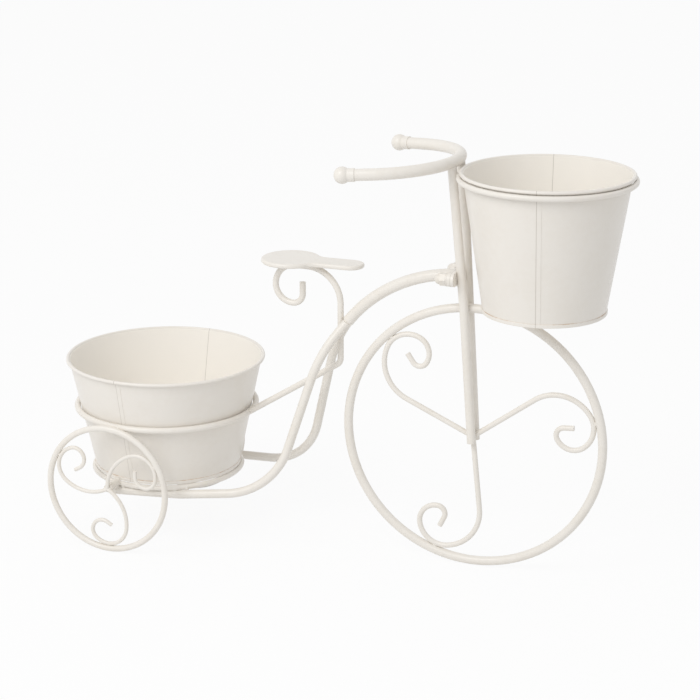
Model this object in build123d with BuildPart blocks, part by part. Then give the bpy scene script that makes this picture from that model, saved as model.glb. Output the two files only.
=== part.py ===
from build123d import *
from math import cos, hypot, radians, sin, sqrt
import os

# Bicycle plant stand of welded round bar, with two lift-out pots.
# Millimetres. +X points forward, +Y to the rider's left, +Z up.
# Origin: on the floor, in the middle plane, straight below the front wheel's centre.

# Fits between pieces
weld_bite = 0.06         # how far one round bar sinks into the next at a weld
long_weld_bite = 0.24    # the same where the seat rod lies along both rails
lift_gap = 0.35          # air between a pot and the frame that holds it

# Front wheel
rim_bar_radius = 5.0
rim_ring_radius = 147.5
wheel_z = rim_ring_radius + rim_bar_radius
scroll_bar_radius = 3.0
scroll_bend = [44.4, 28.1, 20.0, 9.3]
scroll_bend_angle = [90, 88, 102, 112]
scroll_tip_length = 11.4
scroll_first_angle = 36

# Fork
fork_bar_radius = 5.0
fork_hub_y = 7.1
fork_hub_x = 0.5
fork_rim_x = -9.7
fork_foot_length = 5.5
fork_shoulder_z = 385.0
fork_shoulder_x = -16.5
fork_shoulder_y = 14.8
fork_top_flare = 0.2
fork_bend = 120.0

# Handlebar
bar_radius = 6.5
bar_bend_radius = 86.6
bar_front_z = 463.4
bar_tilt_angle = 3.3
bar_half_angle = 78
bar_arm_length = 25.5
grip_radius = 9.2
grip_neck_radius = 7.3
grip_neck_length = 8.0
grip_socket_depth = 4.0

# Front pot, its ring and the pots' sheet
sheet = 1.0
bead_radius = 1.9
bead_lap = 0.25
hem_width = 2.2
hem_height = 4.2
hem_corner = 0.73
hem_fold = 1.2           # how far the sheet stands inside the hem's outside
floor_recess = 2.4
seam_height = 0.35
seam_width = 5.0
seam_top_drop = 0.4
front_pot_x = 77.6
front_pot_bead_ring = 92.0
front_pot_bead_z = 456.0
front_pot_hem_radius = 68.0
front_pot_lift = 165
front_pot_seam_angle = -80
ring_bar_radius = 3.0
front_ring_radius = 93.9
front_ring_z = 450.2

# Head joint
plate_length = 60.0
plate_height = 15.5
head_z = 336.1
fork_plate_front_x = -16.6
fork_plate_thickness = 3.5
head_plate_thickness = 4.0
stud_radius = 4.0
stud_spacing = 45.0
stud_in_nut = 9.0
washer_radius = 7.6
washer_thickness = 1.6
nut_across_flats = 13.0
nut_hex_height = 7.0
nut_height = 14.0
nut_dome_radius = 6.1

# Backbone and rails
backbone_radius = 6.5
backbone_start_angle = 6.3
backbone_straight = 8.3
backbone_bend = 169.8
backbone_bend_angle = 45.9
rail_radius = 5.0
rail_top_y = 3.2
rail_run_z = 66.0
rail_knee = (-173.2, 24.0, 235.5)
rail_ankle = (-217.9, 55.7, 76.1)
rail_heel_x = -326.0
rail_flare = 11.6
rail_lead = 13.6
rail_past_axle = 4.5
rail_bends = [140.0, 80.0, 60.0]

# Rear pot, its ring and the hoop under it
rear_pot_x = -374.0
rear_pot_bead_z = 205.4
rear_pot_hem_radius = 85.5
rear_pot_seam_angle = -94
rear_ring_radius = 103.7
rear_ring_z = 149.0
stay_bar_radius = 3.5
hoop_overhang = 0.5
hoop_bar_radius = 3.0

# Rear wheels
rear_wheel_x = -399.5
rear_rim_ring_radius = 72.2
rear_rim_bar_radius = 3.5
rear_wheel_z = rear_rim_ring_radius + rear_rim_bar_radius
rear_scroll_bar_radius = 2.25
rear_scroll_bend = 46.2
rear_scroll_wide_angle = 68
rear_scroll_outer_angle = 123
rear_scroll_eye_bend = 12.6
rear_scroll_eye_angle = 170
rear_scroll_tip_length = 6.2
rear_scroll_first_angle = 0
axle_radius = 5.0
axle_pot_gap = 3.2       # air between the rear pot's hem and the axles' inner ends
rim_samples = 60
rim_sample_step = 0.5

# Seat and the rod that carries it
seat_length = 120.0
seat_rear_radius = 33.5
seat_nose_radius = 15.4
seat_waist_bend = 16.0
seat_thickness = 5.2
seat_nose_x = -129.8
seat_bottom_z = 332.6
seat_edge = 2.2
seat_rod_low_bend = 10.0
seat_rod_low_z = 221.0
seat_rod_high_bend = 40.0
seat_rod_flat_x = -212.0
seat_curl_bend = [23.0, 21.0, 11.6]
seat_curl_tip = 13.5

os.makedirs("parts", exist_ok=True)


def finish(piece, name):
    piece.part.label = name
    export_step(piece.part, f"parts/{name}.step")


def bar_along(path, radius):
    """A round bar that follows a path."""
    with BuildPart() as bar:
        with BuildSketch(Plane(origin=path @ 0, z_dir=path % 0)):
            Circle(radius)
        sweep(path=path)
    return bar.part


def wheel_plane(x, y, z, angle):
    """Upright plane along the bicycle, turned so that its own X lies along a spoke."""
    a = radians(angle)
    return Plane(origin=(x, y, z), x_dir=(cos(a), 0, sin(a)), z_dir=(0, -1, 0))


def hub_cut(plane, radius):
    """Takes away the two thirds of the hub that belong to the other scrolls."""
    reach = 4 * radius
    with BuildPart() as cutter:
        with BuildSketch(plane):
            with BuildLine():
                Polyline(
                    (0, 0),
                    (reach * cos(radians(60)), reach * sin(radians(60))),
                    (-reach, reach),
                    (-reach, -reach),
                    (reach * cos(radians(60)), -reach * sin(radians(60))),
                    close=True,
                )
            make_face()
        extrude(amount=2 * radius, both=True)
    return cutter.part


# Front wheel rim
with BuildPart() as front_wheel_rim:
    with Locations(Location((0, 0, wheel_z), (90, 0, 0))):
        Torus(rim_ring_radius, rim_bar_radius)
finish(front_wheel_rim, "front_wheel_rim")


# Front wheel scrolls, whose second bend touches the inside of the rim
def front_scroll(angle):
    plane = wheel_plane(0, 0, wheel_z, angle)
    reach = rim_ring_radius - rim_bar_radius - scroll_bar_radius + weld_bite
    step = scroll_bend[0] - scroll_bend[1]
    arm_length = sqrt((reach - scroll_bend[1]) ** 2 - scroll_bend[0] ** 2) - step
    with BuildLine(plane) as path:
        end = Line((0, 0), (arm_length, 0))
        for bend, bend_angle in zip(scroll_bend, scroll_bend_angle):
            end = JernArc(end @ 1, end % 1, bend, -bend_angle)
        Line(end @ 1, (end @ 1) + (end % 1) * scroll_tip_length)
    with BuildPart() as scroll:
        add(bar_along(path.line, scroll_bar_radius))
        add(hub_cut(plane, scroll_bar_radius), mode=Mode.SUBTRACT)
    return scroll


front_scrolls = []
for i, place in enumerate(["fore", "aft", "low"]):
    front_scrolls.append(front_scroll(scroll_first_angle + 120 * i))
    finish(front_scrolls[i], f"front_scroll_{place}")

# Handlebar: one bend, tilted back, with a straight arm at each end
bar_top_x = front_pot_x - front_pot_bead_ring - bead_radius - lift_gap - bar_radius
tilt = radians(bar_tilt_angle)
bar_plane = Plane(
    origin=(
        bar_top_x - bar_bend_radius * cos(tilt),
        0,
        bar_front_z - bar_bend_radius * sin(tilt),
    ),
    x_dir=(cos(tilt), 0, sin(tilt)),
    z_dir=(-sin(tilt), 0, cos(tilt)),
)
with BuildLine(bar_plane) as bar_path:
    bar_bend = CenterArc((0, 0), bar_bend_radius, -bar_half_angle, 2 * bar_half_angle)
    Line(bar_bend @ 0, (bar_bend @ 0) - (bar_bend % 0) * bar_arm_length)
    Line(bar_bend @ 1, (bar_bend @ 1) + (bar_bend % 1) * bar_arm_length)
with BuildPart() as handlebar:
    add(bar_along(bar_path.wire(), bar_radius))
finish(handlebar, "handlebar")

# Ball grips, each pushed over an end of the handlebar
for side, direction, start in [("right", -1, bar_bend @ 0), ("left", 1, bar_bend @ 1)]:
    outward = (bar_bend % 0) * -1 if direction < 0 else bar_bend % 1
    grip_plane = Plane(origin=start + outward * (bar_arm_length + grip_socket_depth), z_dir=outward)
    with BuildPart() as grip:
        with Locations(grip_plane.location):
            Sphere(grip_radius)
        with BuildSketch(grip_plane):
            Circle(grip_neck_radius)
        extrude(amount=-(grip_radius + grip_neck_length / 2))
        add(handlebar.part, mode=Mode.SUBTRACT)
    finish(grip, f"handlebar_grip_{side}")

# Fork rods: from the hub, past the rim, out to the ring and up under the handlebar
ring_contact = front_ring_radius + ring_bar_radius + fork_bar_radius - weld_bite
fork_top_y = fork_shoulder_y + fork_top_flare
fork_ring_x = front_pot_x - sqrt(ring_contact**2 - fork_top_y**2)
rim_pass_z = wheel_z + rim_ring_radius
rim_pass_y = rim_bar_radius + fork_bar_radius - weld_bite / 2
fork_lean = (fork_ring_x - fork_shoulder_x) / (front_ring_z - fork_shoulder_z)


def fork_rod(side):
    with BuildLine() as path:
        FilletPolyline(
            (fork_hub_x, side * fork_hub_y, wheel_z - fork_foot_length),
            (fork_rim_x, side * rim_pass_y, rim_pass_z),
            (fork_shoulder_x, side * fork_shoulder_y, fork_shoulder_z),
            (
                fork_ring_x + fork_lean * (bar_front_z - front_ring_z),
                side * fork_top_y,
                bar_front_z,
            ),
            radius=fork_bend,
        )
    with BuildPart() as rod:
        add(bar_along(path.wire(), fork_bar_radius))
        add(handlebar.part, mode=Mode.SUBTRACT)
        for scroll in front_scrolls:
            add(scroll.part, mode=Mode.SUBTRACT)
    return rod


fork_rod_left = fork_rod(1)
fork_rod_right = fork_rod(-1)
finish(fork_rod_left, "fork_rod_left")
finish(fork_rod_right, "fork_rod_right")

# Ring that the front pot hangs in
with BuildPart() as front_ring:
    with Locations((front_pot_x, 0, front_ring_z)):
        Torus(front_ring_radius, ring_bar_radius)
finish(front_ring, "front_ring")

# Head joint: a plate on the fork and a plate on the backbone, held by two cap nuts
head_joint_x = fork_plate_front_x - fork_plate_thickness
backbone_face_x = head_joint_x - head_plate_thickness


def head_plate_solid(back_x, thickness):
    with BuildPart() as plate:
        with BuildSketch(Plane.YZ.offset(back_x)):
            with Locations((0, head_z)):
                SlotOverall(plate_length, plate_height)
                with Locations((-stud_spacing / 2, 0), (stud_spacing / 2, 0)):
                    Circle(stud_radius, mode=Mode.SUBTRACT)
        extrude(amount=thickness)
    return plate.part


with BuildPart() as fork_plate:
    add(head_plate_solid(head_joint_x, fork_plate_thickness))
    add(fork_rod_left.part, mode=Mode.SUBTRACT)
    add(fork_rod_right.part, mode=Mode.SUBTRACT)
finish(fork_plate, "fork_plate")

with BuildPart() as head_plate:
    add(head_plate_solid(backbone_face_x, head_plate_thickness))
finish(head_plate, "head_plate")

nut_seat_x = backbone_face_x - washer_thickness
with BuildPart() as clamp_studs:
    with BuildSketch(Plane.YZ.offset(nut_seat_x - stud_in_nut)):
        with Locations((-stud_spacing / 2, head_z), (stud_spacing / 2, head_z)):
            Circle(stud_radius)
    extrude(amount=fork_plate_front_x - nut_seat_x + stud_in_nut)
finish(clamp_studs, "clamp_studs")

with BuildPart() as clamp_washers:
    with BuildSketch(Plane.YZ.offset(nut_seat_x)):
        with Locations((-stud_spacing / 2, head_z), (stud_spacing / 2, head_z)):
            Circle(washer_radius)
            Circle(stud_radius, mode=Mode.SUBTRACT)
    extrude(amount=washer_thickness)
finish(clamp_washers, "clamp_washers")

# Cap nuts: hexagon, then a dome
nut_plane = Plane(origin=(nut_seat_x, 0, head_z), x_dir=(0, -1, 0), z_dir=(-1, 0, 0))
with BuildPart() as clamp_cap_nuts:
    with BuildSketch(nut_plane):
        with Locations((-stud_spacing / 2, 0), (stud_spacing / 2, 0)):
            RegularPolygon(nut_across_flats / 2, 6, major_radius=False)
    extrude(amount=nut_hex_height)
    with BuildSketch(nut_plane):
        with Locations((-stud_spacing / 2, 0), (stud_spacing / 2, 0)):
            Circle(nut_dome_radius)
    extrude(amount=nut_height - nut_dome_radius)
    with Locations(nut_plane.offset(nut_height - nut_dome_radius).location):
        with Locations((-stud_spacing / 2, 0), (stud_spacing / 2, 0)):
            Sphere(nut_dome_radius)
    with BuildSketch(nut_plane):
        with Locations((-stud_spacing / 2, 0), (stud_spacing / 2, 0)):
            Circle(stud_radius)
    extrude(amount=stud_in_nut, mode=Mode.SUBTRACT)
finish(clamp_cap_nuts, "clamp_cap_nuts")

# Backbone tube: a straight out of the head plate, then one long bend down
start_tilt = radians(backbone_start_angle)
with BuildLine(Plane.XZ) as backbone_path:
    backbone_lead = Line(
        (backbone_face_x + fork_plate_thickness, head_z + fork_plate_thickness * sin(start_tilt)),
        (
            backbone_face_x - backbone_straight * cos(start_tilt),
            head_z - backbone_straight * sin(start_tilt),
        ),
    )
    backbone_arc = JernArc(
        backbone_lead @ 1, backbone_lead % 1, backbone_bend, backbone_bend_angle
    )
backbone_end = backbone_arc @ 1
backbone_way = backbone_arc % 1
backbone_end_plane = Plane(origin=backbone_end, z_dir=backbone_way)

# The rod that carries the seat passes close behind the backbone, between the rails
rail_dx = backbone_end.X - rail_knee[0]
rail_dy = rail_knee[1] - rail_top_y
rail_spread = hypot(rail_dx, rail_dy)
rod_offset = rail_radius + stay_bar_radius - long_weld_bite
seat_rod_x = backbone_end.X - (rod_offset * rail_spread - rail_dx * rail_top_y) / rail_dy

# Seat rod: up from the rear ring, a tight bend at the backbone, under the seat, and a curl
seat_rod_top_z = seat_bottom_z - stay_bar_radius + weld_bite
with BuildLine(Plane.XZ) as seat_rod_path:
    stay = FilletPolyline(
        (rear_pot_x + rear_ring_radius, rear_ring_z),
        (seat_rod_x, seat_rod_low_z),
        (seat_rod_x, seat_rod_top_z),
        (seat_rod_flat_x, seat_rod_top_z),
        radius=[seat_rod_low_bend, seat_rod_high_bend],
    )
    curl = stay
    for bend in seat_curl_bend:
        curl = JernArc(curl @ 1, curl % 1, bend, 90)
    Line(curl @ 1, (curl @ 1) + (curl % 1) * seat_curl_tip)
with BuildPart() as rear_ring:
    with Locations((rear_pot_x, 0, rear_ring_z)):
        Torus(rear_ring_radius, stay_bar_radius)
finish(rear_ring, "rear_ring")
with BuildPart() as seat_rod:
    add(bar_along(seat_rod_path.wire(), stay_bar_radius))
    add(rear_ring.part, mode=Mode.SUBTRACT)
finish(seat_rod, "seat_rod")

with BuildPart() as backbone_tube:
    add(bar_along(backbone_path.wire(), backbone_radius))
    split(bisect_by=Plane.YZ.offset(backbone_face_x), keep=Keep.BOTTOM)
    add(seat_rod.part, mode=Mode.SUBTRACT)
finish(backbone_tube, "backbone_tube")


# Rails: out of the backbone's end, down, and back under the rear pot to the axles
rail_end_y = sqrt(rear_pot_hem_radius**2 - (rear_pot_x - rear_wheel_x) ** 2) + axle_pot_gap
rail_heel_y = rail_end_y - rail_flare


def rail(side):
    top = Vector(backbone_end.X, side * rail_top_y, backbone_end.Z)
    knee = Vector(rail_knee[0], side * rail_knee[1], rail_knee[2])
    lead = top + (top - knee).normalized() * rail_lead
    slope = (rail_end_y - rail_heel_y) / (rail_heel_x - rear_wheel_x)
    with BuildLine() as path:
        FilletPolyline(
            lead,
            knee,
            (rail_ankle[0], side * rail_ankle[1], rail_ankle[2]),
            (rail_heel_x, side * rail_heel_y, rail_run_z),
            (
                rear_wheel_x - rail_past_axle,
                side * (rail_end_y + slope * rail_past_axle),
                rail_run_z,
            ),
            radius=rail_bends,
        )
    with BuildPart() as bar:
        add(bar_along(path.wire(), rail_radius))
        split(bisect_by=backbone_end_plane, keep=Keep.TOP)
        split(bisect_by=Plane.XZ, keep=Keep.BOTTOM if side > 0 else Keep.TOP)
        add(seat_rod.part, mode=Mode.SUBTRACT)
    return bar


rail_left = rail(1)
rail_right = rail(-1)
finish(rail_left, "rail_left")
finish(rail_right, "rail_right")

# Hoop under the rear pot, lying on the rails
hoop_radius = rear_pot_hem_radius + hoop_overhang
hoop_z = rail_run_z + rail_radius + hoop_bar_radius - weld_bite
with BuildPart() as pot_hoop:
    with Locations((rear_pot_x, 0, hoop_z)):
        Torus(hoop_radius, hoop_bar_radius)
finish(pot_hoop, "pot_hoop")


# Rear wheels: the rims stand where their tops touch the outside of the rear ring
def rim_offset(x):
    ring_y = sqrt(rear_ring_radius**2 - (x - rear_pot_x) ** 2)
    rim_z = rear_wheel_z + sqrt(rear_rim_ring_radius**2 - (x - rear_wheel_x) ** 2)
    reach = stay_bar_radius + rear_rim_bar_radius - weld_bite
    return ring_y + sqrt(max(0, reach**2 - (rear_ring_z - rim_z) ** 2))


rear_wheel_y = max(rim_offset(rear_wheel_x + rim_sample_step * i) for i in range(rim_samples))


# The right wheel and its axle are made, and the left ones are their mirror images
def mirrored(piece):
    with BuildPart() as copy:
        mirror(piece.part, about=Plane.XZ)
    return copy


def rear_scroll(angle):
    """Curved all the way: a wide bend from the hub, one along the rim, and a small eye."""
    plane = wheel_plane(rear_wheel_x, -rear_wheel_y, rear_wheel_z, angle)
    reach = rear_rim_ring_radius - rear_rim_bar_radius - rear_scroll_bar_radius + weld_bite
    turn = cos(radians(180 - rear_scroll_wide_angle))
    drop = (reach**2 - 2 * reach * rear_scroll_bend) / (
        2 * (rear_scroll_bend * (1 + turn) - reach)
    )
    with BuildLine(plane) as path:
        wide = JernArc((0, 0), (0, 1), rear_scroll_bend, -rear_scroll_wide_angle)
        outer = JernArc(wide @ 1, wide % 1, rear_scroll_bend - drop, -rear_scroll_outer_angle)
        eye = JernArc(outer @ 1, outer % 1, rear_scroll_eye_bend, -rear_scroll_eye_angle)
        Line(eye @ 1, (eye @ 1) + (eye % 1) * rear_scroll_tip_length)
    hub_plane = wheel_plane(rear_wheel_x, -rear_wheel_y, rear_wheel_z, angle + 90)
    with BuildPart() as scroll:
        add(bar_along(path.wire(), rear_scroll_bar_radius))
        add(hub_cut(hub_plane, rear_scroll_bar_radius), mode=Mode.SUBTRACT)
    return scroll


with BuildPart() as rear_rim:
    with Locations(Location((rear_wheel_x, -rear_wheel_y, rear_wheel_z), (90, 0, 0))):
        Torus(rear_rim_ring_radius, rear_rim_bar_radius)
finish(rear_rim, "rear_rim_right")
finish(mirrored(rear_rim), "rear_rim_left")

rear_scrolls = []
for i, place in enumerate(["fore", "aft", "low"]):
    rear_scrolls.append(rear_scroll(rear_scroll_first_angle + 120 * i))
    finish(rear_scrolls[i], f"rear_scroll_{place}_right")
    finish(mirrored(rear_scrolls[i]), f"rear_scroll_{place}_left")

# Stub axles, from the end of each rail out to the hub of its wheel
axle_end_y = rear_wheel_y - rear_scroll_bar_radius + weld_bite
with BuildPart() as stub_axle:
    with BuildSketch(Plane.XZ.offset(axle_end_y)):
        with Locations((rear_wheel_x, rear_wheel_z)):
            Circle(axle_radius)
    extrude(amount=rail_end_y - axle_end_y)
    add(pot_hoop.part, mode=Mode.SUBTRACT)
    add(rail_right.part, mode=Mode.SUBTRACT)
finish(stub_axle, "stub_axle_right")
finish(mirrored(stub_axle), "stub_axle_left")

# Seat: a flat plate, round behind and narrow in front
seat_rear_x = seat_nose_x - seat_length + seat_rear_radius
seat_front_x = seat_nose_x - seat_nose_radius
with BuildPart() as seat_plate:
    with BuildSketch(Plane.XY.offset(seat_bottom_z)):
        with Locations((seat_rear_x, 0)):
            Circle(seat_rear_radius)
        with Locations((seat_front_x, 0)):
            Circle(seat_nose_radius)
        with Locations(((seat_rear_x + seat_front_x) / 2, 0)):
            Rectangle(seat_front_x - seat_rear_x, 2 * seat_nose_radius)
    extrude(amount=seat_thickness)
    waist = seat_plate.edges().filter_by(Axis.Z).filter_by(
        lambda edge: seat_rear_x < edge.center().X < seat_front_x - seat_nose_radius / 2
    )
    fillet(waist, seat_waist_bend)
    fillet(seat_plate.faces().sort_by(Axis.Z)[-1].edges(), seat_edge)
    fillet(seat_plate.faces().sort_by(Axis.Z)[0].edges(), seat_edge)
    add(seat_rod.part, mode=Mode.SUBTRACT)
finish(seat_plate, "seat_plate")


# Pots: a tapered sheet with a rolled bead, a bottom hem, two lock seams and a sunk floor
def pot_wall(x, base_z, hem_radius, top_radius, bead_ring, bead_z, seam_angle):
    bottom_radius = hem_radius - hem_fold
    taper = (top_radius - bottom_radius) / (bead_z - base_z - hem_height / 2)
    seam_radius = top_radius - taper * seam_top_drop
    upright = Plane(origin=(x, 0, 0), x_dir=(1, 0, 0), z_dir=(0, -1, 0))
    axis = Axis((x, 0, 0), (0, 0, 1))
    with BuildPart() as wall:
        with BuildSketch(upright):
            with BuildLine():
                Polyline(
                    (bottom_radius - sheet, base_z + hem_height / 2),
                    (bottom_radius, base_z + hem_height / 2),
                    (top_radius, bead_z),
                    (top_radius - sheet, bead_z),
                    close=True,
                )
            make_face()
            with Locations((bead_ring, bead_z)):
                Circle(bead_radius)
            with Locations((hem_radius - hem_width / 2, base_z + hem_height / 2)):
                RectangleRounded(hem_width, hem_height, hem_corner)
        revolve(axis=axis)
        for turn in (0, 180):
            a = radians(seam_angle + turn)
            seam_plane = Plane(
                origin=(x, 0, 0), x_dir=(cos(a), sin(a), 0), z_dir=(sin(a), -cos(a), 0)
            )
            with BuildSketch(seam_plane):
                with BuildLine():
                    Polyline(
                        (bottom_radius - sheet / 2, base_z + hem_height / 2),
                        (bottom_radius + seam_height, base_z + hem_height / 2),
                        (seam_radius + seam_height, bead_z - seam_top_drop),
                        (seam_radius - sheet / 2, bead_z - seam_top_drop),
                        close=True,
                    )
                make_face()
            extrude(amount=seam_width / 2, both=True)
    return wall


def pot_floor(x, base_z, hem_radius):
    """Floor sheet with a lip turned down inside the hem."""
    edge = hem_radius - hem_width
    with BuildPart() as floor:
        with BuildSketch(Plane.XY.offset(base_z + hem_corner)):
            with Locations((x, 0)):
                Circle(edge)
        extrude(amount=floor_recess + sheet - hem_corner)
        with BuildSketch(Plane.XY.offset(base_z + hem_corner)):
            with Locations((x, 0)):
                Circle(edge - sheet)
        extrude(amount=floor_recess - hem_corner, mode=Mode.SUBTRACT)
    return floor


# Front pot, just above the rim of the front wheel
front_pot_reach = front_pot_x - front_pot_hem_radius
front_pot_base_z = (
    wheel_z + sqrt((rim_ring_radius + rim_bar_radius) ** 2 - front_pot_reach**2) + lift_gap
)
front_bucket_wall = pot_wall(
    front_pot_x,
    front_pot_base_z,
    front_pot_hem_radius,
    front_pot_bead_ring - bead_radius + bead_lap,
    front_pot_bead_ring,
    front_pot_bead_z,
    front_pot_seam_angle,
)
finish(front_bucket_wall, "front_bucket_wall")
front_bucket_floor = pot_floor(front_pot_x, front_pot_base_z, front_pot_hem_radius)
finish(front_bucket_floor, "front_bucket_floor")

# Rear pot, whose wall just clears the rear ring that it hangs in
rear_pot_base_z = hoop_z + hoop_bar_radius + lift_gap
rear_bottom_radius = rear_pot_hem_radius - hem_fold
wall_at_ring = rear_ring_radius - stay_bar_radius - 2 * lift_gap - seam_height / 2
taper = (wall_at_ring - rear_bottom_radius) / (
    rear_ring_z - rear_pot_base_z - hem_height / 2
)
rear_top_radius = wall_at_ring + taper * (rear_pot_bead_z - rear_ring_z)
rear_pot_wall = pot_wall(
    rear_pot_x,
    rear_pot_base_z,
    rear_pot_hem_radius,
    rear_top_radius,
    rear_top_radius + bead_radius - bead_lap,
    rear_pot_bead_z,
    rear_pot_seam_angle,
)
finish(rear_pot_wall, "rear_pot_wall")
rear_pot_floor = pot_floor(rear_pot_x, rear_pot_base_z, rear_pot_hem_radius)
finish(rear_pot_floor, "rear_pot_floor")
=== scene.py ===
from math import cos, pi, radians, sin

import bmesh
import bpy
from bpy.props import FloatProperty, FloatVectorProperty, PointerProperty
from mathutils import Matrix, Vector, noise
from mathutils.bvhtree import BVHTree


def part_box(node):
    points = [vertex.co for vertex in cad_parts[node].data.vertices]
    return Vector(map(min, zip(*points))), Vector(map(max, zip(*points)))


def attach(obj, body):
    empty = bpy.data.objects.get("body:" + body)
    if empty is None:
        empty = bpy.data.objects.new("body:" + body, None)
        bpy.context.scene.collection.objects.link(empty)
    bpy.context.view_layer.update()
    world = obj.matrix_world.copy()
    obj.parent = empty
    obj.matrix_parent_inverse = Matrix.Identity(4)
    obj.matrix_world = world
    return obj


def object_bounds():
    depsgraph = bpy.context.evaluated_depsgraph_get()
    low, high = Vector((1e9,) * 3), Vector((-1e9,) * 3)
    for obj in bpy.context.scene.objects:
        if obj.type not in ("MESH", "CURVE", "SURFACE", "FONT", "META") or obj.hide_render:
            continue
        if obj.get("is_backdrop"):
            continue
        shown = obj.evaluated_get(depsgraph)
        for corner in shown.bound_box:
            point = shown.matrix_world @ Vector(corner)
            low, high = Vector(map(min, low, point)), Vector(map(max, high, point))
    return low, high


bl_info = {
    "name": "Bicycle Plant Stand",
    "version": (1, 0, 0),
    "blender": (4, 5, 0),
    "location": "View3D > Sidebar > Plant Stand",
    "description": "Painted looks for a bicycle plant stand of welded bar with two pots",
    "category": "Object",
}

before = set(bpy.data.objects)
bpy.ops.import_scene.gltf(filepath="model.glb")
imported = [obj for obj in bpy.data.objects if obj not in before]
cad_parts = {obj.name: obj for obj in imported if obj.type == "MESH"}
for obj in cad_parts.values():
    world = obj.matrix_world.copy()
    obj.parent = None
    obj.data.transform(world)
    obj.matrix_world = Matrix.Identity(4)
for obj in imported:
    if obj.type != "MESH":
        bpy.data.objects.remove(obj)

PLATES = ("fork_plate", "head_plate", "seat_plate")
FASTENERS = ("clamp_studs", "clamp_washers", "clamp_cap_nuts")
SIDES = ("left", "right")
SCROLLS = ("fore", "aft", "low")

# Each pot: the direction of its lock seam in degrees, then the height and radius of the middle
# of its sheet just above the hem, and how much that radius grows with height
POTS = {
    "front_bucket": (-80.0, 0.3072, 0.0663, 0.1582),
    "rear_pot": (-94.0, 0.0794, 0.0838, 0.2159),
}

# Each weld piece: its joints, as two nodes that touch and the radius of the beads between them
WELDS = {
    "front_wheel_welds": (
        ("front_scroll_{scroll}", "front_wheel_rim", 0.0027),
        ("front_scroll_low", "fork_rod_{side}", 0.0034),
        ("front_wheel_rim", "fork_rod_{side}", 0.0032),
    ),
    "fork_welds": (
        ("front_ring", "fork_rod_{side}", 0.0028),
        ("fork_rod_{side}", "handlebar", 0.0034),
        ("fork_plate", "fork_rod_{side}", 0.0024),
    ),
    "seat_welds": (
        ("rail_{side}", "backbone_tube", 0.0036),
        ("seat_rod", "rear_ring", 0.0030),
        ("seat_rod", "seat_plate", 0.0022),
    ),
    "rear_wheel_welds": (
        ("rear_ring", "rear_rim_{side}", 0.0024),
        ("pot_hoop", "rail_{side}", 0.0026),
        ("stub_axle_{side}", "rail_{side}", 0.0034),
        ("rear_scroll_low_{side}", "stub_axle_{side}", 0.0030),
        ("rear_scroll_{scroll}_{side}", "rear_rim_{side}", 0.0019),
    ),
}

# The lumps of a weld drop, in waves per bead radius
DROP_LUMPS = 0.9

# The collar weld round the backbone: the radius of the bar, the radius of the bead, the sides of
# the bead's section, the steps round the bar, and the lumps with their depth against a drop's
COLLAR_BAR_RADIUS = 0.0065
COLLAR_BEAD_RADIUS = 0.0016
COLLAR_SIDES = 14
COLLAR_STEPS = 64
COLLAR_LUMPS = 0.55
COLLAR_DEPTH = 1.4

# Waves per metre of the paint's four textures
CLOUD_SCALE = 24.0
MOTTLE_SCALE = 150.0
RIPPLE_SCALE = 640.0
SPECK_SCALE = 950.0

# From where to where in a texture the thick paint, the worn paint and the specks set in
THICK_RANGE = (0.42, 0.64)
WORN_RANGE = (0.46, 0.60)
SPECK_RANGE = (0.72, 0.80)

# How strongly specks, painted shade lines and stains colour the paint; a stain has its least and
# what wear adds
SPECK_TINT = 0.04
SHADE_LINE_TINT = 0.42
STAIN_TINT = 0.12
WORN_TINT = 0.55

# The share of a line's half width that is fully dark, half the width of the painted shade line
# between clamped faces, and half the depth in which the outer paint of a sheet gives way to the
# inner, brighter paint that is painted light inside the pots
LINE_CORE = 0.35
CLAMP_SHADE_LINE = 0.00025
SHEET_STEP = 0.0002

# The stage, in metres and degrees
FLOOR_HALF_WIDTH = 20.0
FLOOR_GREY = 0.9
KEY_SIZE = 1.6
KEY_PLACE = (-1.0, -2.1, 2.3)
KEY_AIM = (-0.15, 0.0, 0.25)
CAMERA_PLACE = (0.6757, -2.1845, 0.9557)
CAMERA_TURN = (72.88, 0.0, 20.61)
CAMERA_ANGLE = 18.252


class PaintSettings(bpy.types.PropertyGroup):
    cream: FloatVectorProperty(
        name="Cream paint",
        description="Colour of the paint in even light",
        subtype="COLOR",
        default=(0.87, 0.832, 0.775),
    )
    shade: FloatVectorProperty(
        name="Deeper cream",
        description="Colour where the paint lies thicker or has yellowed",
        subtype="COLOR",
        default=(0.82, 0.768, 0.69),
    )
    # Painted light: a brighter cream on the inner faces of the pots stands in for the light that
    # falls into them
    inside: FloatVectorProperty(
        name="Inside of the pots",
        description="Colour of the painted light inside the pots",
        subtype="COLOR",
        default=(0.96, 0.925, 0.865),
    )
    # Painted shade: the dark colour of the lines where shade falls in the crevices of lock seams
    # and between clamped faces
    gap: FloatVectorProperty(
        name="Gap",
        description="Colour of the thin lines at lock seams and clamped faces",
        subtype="COLOR",
        default=(0.24, 0.20, 0.15),
    )
    rust: FloatVectorProperty(
        name="Rust tint",
        description="Colour of the specks in the paint and of the stains above the hems",
        subtype="COLOR",
        default=(0.55, 0.37, 0.22),
    )
    roughness: FloatProperty(
        name="Roughness",
        description="How dull the dry paint is",
        default=0.38,
        min=0.0,
        max=1.0,
    )
    peel: FloatProperty(
        name="Orange peel",
        description="Depth of the fine ripple in the sprayed paint",
        default=0.00010,
        unit="LENGTH",
    )


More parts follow.
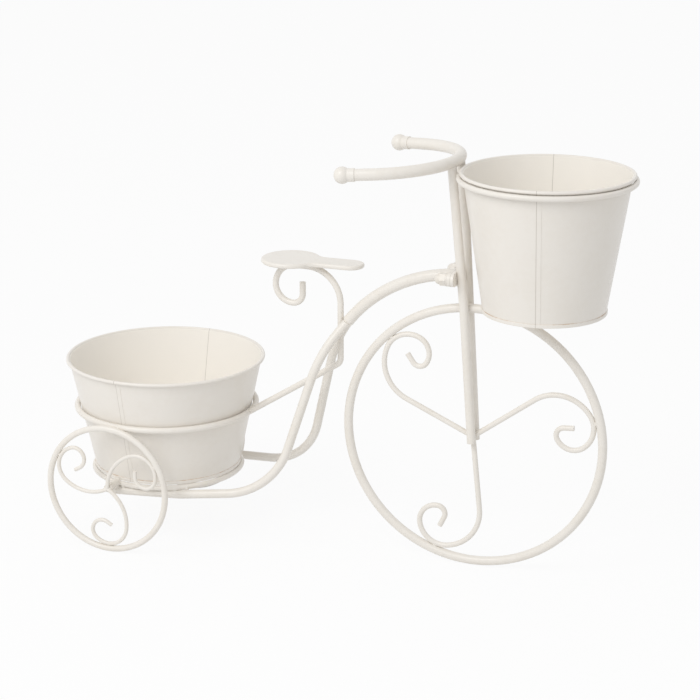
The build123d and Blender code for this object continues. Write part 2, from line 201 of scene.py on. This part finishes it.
class PotSettings(bpy.types.PropertyGroup):
    seam_half_width: FloatProperty(
        name="Seam half width",
        description="Distance from the middle of a lock seam to its open edge",
        default=0.0025,
        unit="LENGTH",
    )
    # Half width of the painted shade line that darkens the crevice along a lock seam
    seam_shade_line: FloatProperty(
        name="Seam line",
        description="Half the width of the dark line along a lock seam",
        default=0.00045,
        unit="LENGTH",
    )
    hem_height: FloatProperty(
        name="Hem height",
        description="Height of the folded hem at the bottom of a pot",
        default=0.0042,
        unit="LENGTH",
    )
    hem_line: FloatProperty(
        name="Hem line",
        description="Half the width of the stained line above the hem",
        default=0.0006,
        unit="LENGTH",
    )


class WeldSettings(bpy.types.PropertyGroup):
    reach: FloatProperty(
        name="Reach",
        description="How near two bars lie where they are welded",
        default=0.0012,
        unit="LENGTH",
    )
    spacing: FloatProperty(
        name="Spacing",
        description="Distance from one bead to the next along a joint",
        default=0.012,
        unit="LENGTH",
    )
    rough: FloatProperty(
        name="Unevenness",
        description="How far a bead strays from smooth, as a share of its radius",
        default=0.22,
    )


class StageSettings(bpy.types.PropertyGroup):
    key_power: FloatProperty(
        name="Key light",
        description="Power of the large soft light at the left",
        default=34.0,
        unit="POWER",
    )
    room: FloatProperty(
        name="Room light",
        description="Strength of the even light from the room",
        default=0.66,
    )
    floor_white: FloatProperty(
        name="Floor whiteness",
        description="Share of the floor's seen colour that is plain white",
        default=0.91,
    )


class Socket:
    """An output of a node, on which arithmetic adds Math nodes."""

    def __init__(self, shader, socket):
        self.shader = shader
        self.socket = socket

    def __add__(self, other):
        return self.shader.math("ADD", self, other)

    def __sub__(self, other):
        return self.shader.math("SUBTRACT", self, other)

    def __rsub__(self, other):
        return self.shader.math("SUBTRACT", other, self)

    def __mul__(self, other):
        return self.shader.math("MULTIPLY", self, other)

    def __abs__(self):
        return self.shader.math("ABSOLUTE", self)

    __radd__ = __add__
    __rmul__ = __mul__


class Shader:
    """The nodes of a material or of the world, added one call at a time."""

    def __init__(self, owner):
        owner.use_nodes = True
        self.tree = owner.node_tree
        self.tree.nodes.clear()

    def node(self, kind, output=0, settings=None, **inputs):
        """Adds a node; an input is named as on the node, or i and its number."""
        node = self.tree.nodes.new(kind)
        for key, value in (settings or {}).items():
            setattr(node, key, value)
        for key, value in inputs.items():
            target = node.inputs[int(key[1:]) if key[1:].isdigit() else key.replace("_", " ")]
            if isinstance(value, Socket):
                self.tree.links.new(value.socket, target)
            else:
                target.default_value = value
        return Socket(self, node.outputs[output]) if node.outputs else node

    def math(self, operation, a, b=0.0):
        return self.node("ShaderNodeMath", settings={"operation": operation}, i0=a, i1=b)

    def mix(self, factor, a, b):
        """Blends two colours."""
        return self.node(
            "ShaderNodeMix", output=2, settings={"data_type": "RGBA"}, i0=factor, i6=a, i7=b
        )

    def speckle(self, place, scale, detail):
        return self.node("ShaderNodeTexNoise", Vector=place, Scale=scale, Detail=detail)

    def step(self, value, low, high):
        """Rises smoothly from 0 at low to 1 at high."""
        return self.node(
            "ShaderNodeMapRange",
            settings={"interpolation_type": "SMOOTHSTEP"},
            i0=value,
            i1=low,
            i2=high,
        )

    def line(self, place, normal, offset, half_width):
        """Is 1 on a plane and falls to 0 at half_width on either side."""
        along = self.node(
            "ShaderNodeVectorMath",
            output="Value",
            settings={"operation": "DOT_PRODUCT"},
            i0=place,
            i1=normal,
        )
        return 1.0 - self.step(abs(along - offset), half_width * LINE_CORE, half_width)

    def inside(self, place, middle, height, radius, flare):
        """Is 1 on the inner face of a tapered sheet that stands round an upright axis, where
        painted light brightens the pots.
        """
        across = self.node(
            "ShaderNodeVectorMath",
            settings={"operation": "MULTIPLY_ADD"},
            i0=place,
            i1=(1.0, 1.0, 0.0),
            i2=(-middle, 0.0, 0.0),
        )
        reach = self.node(
            "ShaderNodeVectorMath", output="Value", settings={"operation": "LENGTH"}, i0=across
        )
        up = self.node("ShaderNodeSeparateXYZ", output="Z", Vector=place)
        taper = (up - height) * flare
        return 1.0 - self.step(reach - taper, radius - SHEET_STEP, radius + SHEET_STEP)

    def seen(self):
        """Is 1 for what the camera sees directly, in a reflection or through glass."""
        camera, glossy, through = (
            self.node("ShaderNodeLightPath", output=f"Is {ray} Ray")
            for ray in ("Camera", "Glossy", "Transmission")
        )
        return self.math("MAXIMUM", self.math("MAXIMUM", camera, glossy), through)


def opaque(color):
    return (color[0], color[1], color[2], 1.0)


def cream_paint(name, blush, ripple_factor=1.0, shade_lines=(), stains=(), sheet=None):
    """Sprayed cream paint.

    Blush is the share of the deeper cream where the paint is thickest.
    Each crevice shade line and stain is a plane, as its normal, its offset and the half width of
    its line; a shade line is painted shade, darker paint where shade falls in a crevice.
    A sheet is what Shader.inside takes, where the inner face gets a brighter cream: painted
    light inside the pots.
    """
    looks = bpy.context.scene.stand_paint
    material = bpy.data.materials.new(name)
    shader = Shader(material)
    place = shader.node("ShaderNodeTexCoord", output="Object")
    clouds = shader.speckle(place, CLOUD_SCALE, 4.0)
    mottle = shader.speckle(place, MOTTLE_SCALE, 3.0)
    ripple = shader.speckle(place, RIPPLE_SCALE, 2.0)
    specks = shader.step(shader.speckle(place, SPECK_SCALE, 1.0), *SPECK_RANGE)
    thick = shader.step(clouds * 0.6 + mottle * 0.4, *THICK_RANGE)
    color = shader.mix(thick * blush, opaque(looks.cream), opaque(looks.shade))
    # Painted light: the inner face of each pot gets the brighter inside cream, standing in for
    # light falling into the pot
    if sheet:
        color = shader.mix(shader.inside(place, *sheet), color, opaque(looks.inside))
    color = shader.mix(specks * SPECK_TINT, color, opaque(looks.rust))
    dents = ripple + mottle * 0.7 - specks * 0.4
    for stain in stains:
        worn = shader.step(clouds * 0.65 + mottle * 0.35, *WORN_RANGE)
        tint = shader.line(place, *stain) * (worn * WORN_TINT + STAIN_TINT)
        color = shader.mix(tint, color, opaque(looks.rust))
    # Painted shade: each line darkens the paint where shade falls in a crevice, and the same
    # mask dents the bump
    for gap in shade_lines:
        shaded_crevice = shader.line(place, *gap)
        color = shader.mix(shaded_crevice * SHADE_LINE_TINT, color, opaque(looks.gap))
        dents = dents - shaded_crevice * 2.0
    bump = shader.node(
        "ShaderNodeBump", Strength=0.5, Distance=looks.peel * ripple_factor, Height=dents
    )
    surface = shader.node(
        "ShaderNodeBsdfPrincipled",
        Base_Color=color,
        Roughness=looks.roughness - 0.06 + clouds * 0.12 + specks * 0.2,
        Normal=bump,
        Coat_Weight=0.15,
        Coat_Roughness=0.2,
        Specular_IOR_Level=0.42,
    )
    shader.node("ShaderNodeOutputMaterial", Surface=surface)
    return material


def dress(node, material):
    """Gives a node its one material."""
    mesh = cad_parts[node].data
    mesh.materials.clear()
    mesh.materials.append(material)


class STAND_OT_paint_bars(bpy.types.Operator):
    """Paints every bar, ring, wheel, scroll and grip of the stand"""

    bl_idname = "stand.paint_bars"
    bl_label = "Paint the bars"

    def execute(self, context):
        paint = cream_paint("cream_bar_paint", blush=0.40)
        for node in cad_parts:
            pot = node.startswith(tuple(POTS))
            if not pot and node not in PLATES and node not in FASTENERS:
                dress(node, paint)
        return {"FINISHED"}


class STAND_OT_paint_clamp(bpy.types.Operator):
    """Paints the seat, the head plates and the nuts, with painted shade lines at the clamped
    faces
    """

    bl_idname = "stand.paint_clamp"
    bl_label = "Paint the plates and nuts"

    def execute(self, context):
        along = (1.0, 0.0, 0.0)
        # Painted shade lines on the planes where the plates and the washers are clamped together
        plate_shade_line = [(along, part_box("fork_plate")[0].x, CLAMP_SHADE_LINE)]
        nut_shade_lines = [(along, face.x, CLAMP_SHADE_LINE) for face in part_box("clamp_washers")]
        dress("seat_plate", cream_paint("cream_seat_paint", blush=0.30, ripple_factor=1.2))
        plate_paint = cream_paint(
            "cream_plate_paint", blush=0.5, ripple_factor=1.4, shade_lines=plate_shade_line
        )
        nut_paint = cream_paint("cream_nut_paint", blush=0.8, ripple_factor=1.8, shade_lines=nut_shade_lines)
        for node in ("fork_plate", "head_plate"):
            dress(node, plate_paint)
        for node in FASTENERS:
            dress(node, nut_paint)
        return {"FINISHED"}


class STAND_OT_paint_pots(bpy.types.Operator):
    """Paints the two pots, with a painted shade line along each lock seam, a stain above the hem
    and painted light on the inner faces
    """

    bl_idname = "stand.paint_pots"
    bl_label = "Paint the pots"

    def execute(self, context):
        sizes = context.scene.stand_pots
        for pot, (seam_direction, *sheet) in POTS.items():
            low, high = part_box(pot + "_wall")
            middle = (low.x + high.x) / 2
            turn = radians(seam_direction)
            # The plane of the painted shade line at the open edge of the lock seam
            seam = (
                (sin(turn), -cos(turn), 0.0),
                middle * sin(turn) + sizes.seam_half_width,
                sizes.seam_shade_line,
            )
            hem = ((0.0, 0.0, 1.0), low.z + sizes.hem_height, sizes.hem_line)
            wall_paint = cream_paint(
                pot + "_paint", blush=0.25, shade_lines=[seam], stains=[hem], sheet=(middle, *sheet)
            )
            dress(pot + "_wall", wall_paint)
            dress(pot + "_floor", cream_paint(pot + "_floor_paint", blush=0.5))
        return {"FINISHED"}


def written_out(joints):
    """The joints of a weld piece, once for each scroll and side that their names leave open."""
    return dict.fromkeys(
        (
            node.format(scroll=scroll, side=side),
            other.format(scroll=scroll, side=side),
            radius,
        )
        for node, other, radius in joints
        for scroll in SCROLLS
        for side in SIDES
    )


def joint_places(node, other, reach, spacing):
    """Middles of the patches where a node's surface lies against another's."""
    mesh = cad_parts[other].data
    tree = BVHTree.FromPolygons(
        [v.co for v in mesh.vertices], [p.vertices for p in mesh.polygons]
    )
    patches = []
    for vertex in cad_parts[node].data.vertices:
        if tree.find_nearest(vertex.co, reach)[0] is None:
            continue
        for patch in patches:
            if (patch[0] / patch[1] - vertex.co).length < spacing:
                patch[0] += vertex.co
                patch[1] += 1
                break
        else:
            patches.append([vertex.co.copy(), 1])
    return [total / count for total, count in patches]


def weld_drop(edit, place, radius, rough):
    """A small uneven drop of weld metal."""
    drop = bmesh.ops.create_icosphere(edit, subdivisions=3, radius=radius)["verts"]
    bmesh.ops.translate(edit, verts=drop, vec=place)
    for vertex in drop:
        out = vertex.co - place
        vertex.co += out * rough * noise.noise(vertex.co * DROP_LUMPS / radius)


def weld_collar(edit, place, rough):
    """An uneven bead laid all round the backbone, where it runs along X."""
    turn = Matrix.Translation((0.0, COLLAR_BAR_RADIUS, 0.0)) @ Matrix.Rotation(pi / 2, 4, "Z")
    turn = turn @ Matrix.Rotation(pi / 2, 4, "X")
    ring = bmesh.ops.create_circle(
        edit, segments=COLLAR_SIDES, radius=COLLAR_BEAD_RADIUS, matrix=turn
    )["verts"]
    edges = list({edge for vertex in ring for edge in vertex.link_edges})
    before = set(edit.verts) - set(ring)
    bmesh.ops.spin(
        edit,
        geom=ring + edges,
        cent=(0.0, 0.0, 0.0),
        axis=(1.0, 0.0, 0.0),
        angle=2 * pi,
        steps=COLLAR_STEPS,
        use_merge=True,
    )
    for vertex in set(edit.verts) - before:
        outward = Vector((0.0, vertex.co.y, vertex.co.z)).normalized()
        middle = outward * COLLAR_BAR_RADIUS
        lump = noise.noise(vertex.co * COLLAR_LUMPS / COLLAR_BEAD_RADIUS)
        vertex.co += (vertex.co - middle) * rough * COLLAR_DEPTH * lump
        vertex.co += place


class STAND_OT_lay_welds(bpy.types.Operator):
    """Lays painted weld beads where the bars of the stand touch"""

    bl_idname = "stand.lay_welds"
    bl_label = "Lay the welds"

    def execute(self, context):
        welds = context.scene.stand_welds
        paint = cream_paint("cream_weld_paint", blush=0.9, ripple_factor=2.5)
        for name, joints in WELDS.items():
            edit = bmesh.new()
            for node, other, radius in written_out(joints):
                places = joint_places(node, other, welds.reach, welds.spacing)
                if not places:
                    raise RuntimeError(f"{node} doesn't touch {other}")
                for place in places:
                    weld_drop(edit, place, radius, welds.rough)
            if name == "fork_welds":
                low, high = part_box("head_plate")
                place = Vector((low.x, 0.0, (low.z + high.z) / 2))
                weld_collar(edit, place, welds.rough)
            bmesh.ops.recalc_face_normals(edit, faces=edit.faces)
            mesh = bpy.data.meshes.new(name)
            edit.to_mesh(mesh)
            edit.free()
            mesh.shade_smooth()
            mesh.materials.append(paint)
            piece = bpy.data.objects.new(name, mesh)
            context.scene.collection.objects.link(piece)
            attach(piece, "stand")
        return {"FINISHED"}


class STAND_OT_stage(bpy.types.Operator):
    """Sets the floor, the room, the light and the camera"""

    bl_idname = "stand.stage"
    bl_label = "Set the stage"

    def execute(self, context):
        scene = context.scene
        looks = scene.stand_stage
        white = (1.0, 1.0, 1.0, 1.0)
        scene.view_settings.view_transform = "Standard"

        edit = bmesh.new()
        bmesh.ops.create_grid(edit, x_segments=1, y_segments=1, size=FLOOR_HALF_WIDTH)
        bmesh.ops.translate(edit, verts=edit.verts, vec=(0.0, 0.0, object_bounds()[0][2]))
        mesh = bpy.data.meshes.new("studio_floor")
        edit.to_mesh(mesh)
        edit.free()
        floor = bpy.data.objects.new("studio_floor", mesh)
        scene.collection.objects.link(floor)
        material = bpy.data.materials.new("studio_floor_white")
        shader = Shader(material)
        matte = shader.node("ShaderNodeBsdfDiffuse", Color=opaque([FLOOR_GREY] * 3))
        bright = shader.node("ShaderNodeEmission", Color=white, Strength=1.0)
        share = shader.seen() * looks.floor_white
        shown = shader.node("ShaderNodeMixShader", i0=share, i1=matte, i2=bright)
        shader.node("ShaderNodeOutputMaterial", Surface=shown)
        mesh.materials.append(material)
        floor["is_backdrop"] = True

        world = bpy.data.worlds.new("studio_room")
        scene.world = world
        shader = Shader(world)
        room = shader.node("ShaderNodeBackground", Color=white, Strength=looks.room)
        wall = shader.node("ShaderNodeBackground", Color=white, Strength=1.0)
        shown = shader.node("ShaderNodeMixShader", i0=shader.seen(), i1=room, i2=wall)
        shader.node("ShaderNodeOutputWorld", Surface=shown)

        lamp = bpy.data.lights.new("key_light", "AREA")
        lamp.energy = looks.key_power
        lamp.size = KEY_SIZE
        light = bpy.data.objects.new("key_light", lamp)
        light.location = KEY_PLACE
        aim = Vector(KEY_AIM) - light.location
        light.rotation_euler = aim.to_track_quat("-Z", "Y").to_euler()
        scene.collection.objects.link(light)

        lens = bpy.data.cameras.new("photo_camera")
        lens.angle = radians(CAMERA_ANGLE)
        camera = bpy.data.objects.new("photo_camera", lens)
        camera.location = CAMERA_PLACE
        camera.rotation_euler = [radians(turn) for turn in CAMERA_TURN]
        scene.collection.objects.link(camera)
        scene.camera = camera
        return {"FINISHED"}


class STAND_PT_panel(bpy.types.Panel):
    """Lists the settings and the steps of the plant stand"""

    bl_idname = "STAND_PT_panel"
    bl_label = "Plant Stand"
    bl_space_type = "VIEW_3D"
    bl_region_type = "UI"
    bl_category = "Plant Stand"

    def draw(self, context):
        for name, group in GROUPS:
            box = self.layout.box()
            for key in group.__annotations__:
                box.prop(getattr(context.scene, name), key)
        for operator in OPERATORS:
            self.layout.operator(operator.bl_idname)


GROUPS = (
    ("stand_paint", PaintSettings),
    ("stand_pots", PotSettings),
    ("stand_welds", WeldSettings),
    ("stand_stage", StageSettings),
)
OPERATORS = (
    STAND_OT_paint_bars,
    STAND_OT_paint_clamp,
    STAND_OT_paint_pots,
    STAND_OT_lay_welds,
    STAND_OT_stage,
)


def register():
    for name, group in GROUPS:
        bpy.utils.register_class(group)
        setattr(bpy.types.Scene, name, PointerProperty(type=group))
    for item in OPERATORS + (STAND_PT_panel,):
        bpy.utils.register_class(item)


def unregister():
    for item in (STAND_PT_panel,) + OPERATORS[::-1]:
        bpy.utils.unregister_class(item)
    for name, group in GROUPS[::-1]:
        delattr(bpy.types.Scene, name)
        bpy.utils.unregister_class(group)


def main():
    register()
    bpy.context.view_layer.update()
    bpy.ops.stand.paint_bars()
    bpy.ops.stand.paint_clamp()
    bpy.ops.stand.paint_pots()
    bpy.ops.stand.lay_welds()
    bpy.ops.stand.stage()


if __name__ == "__main__":
    main()
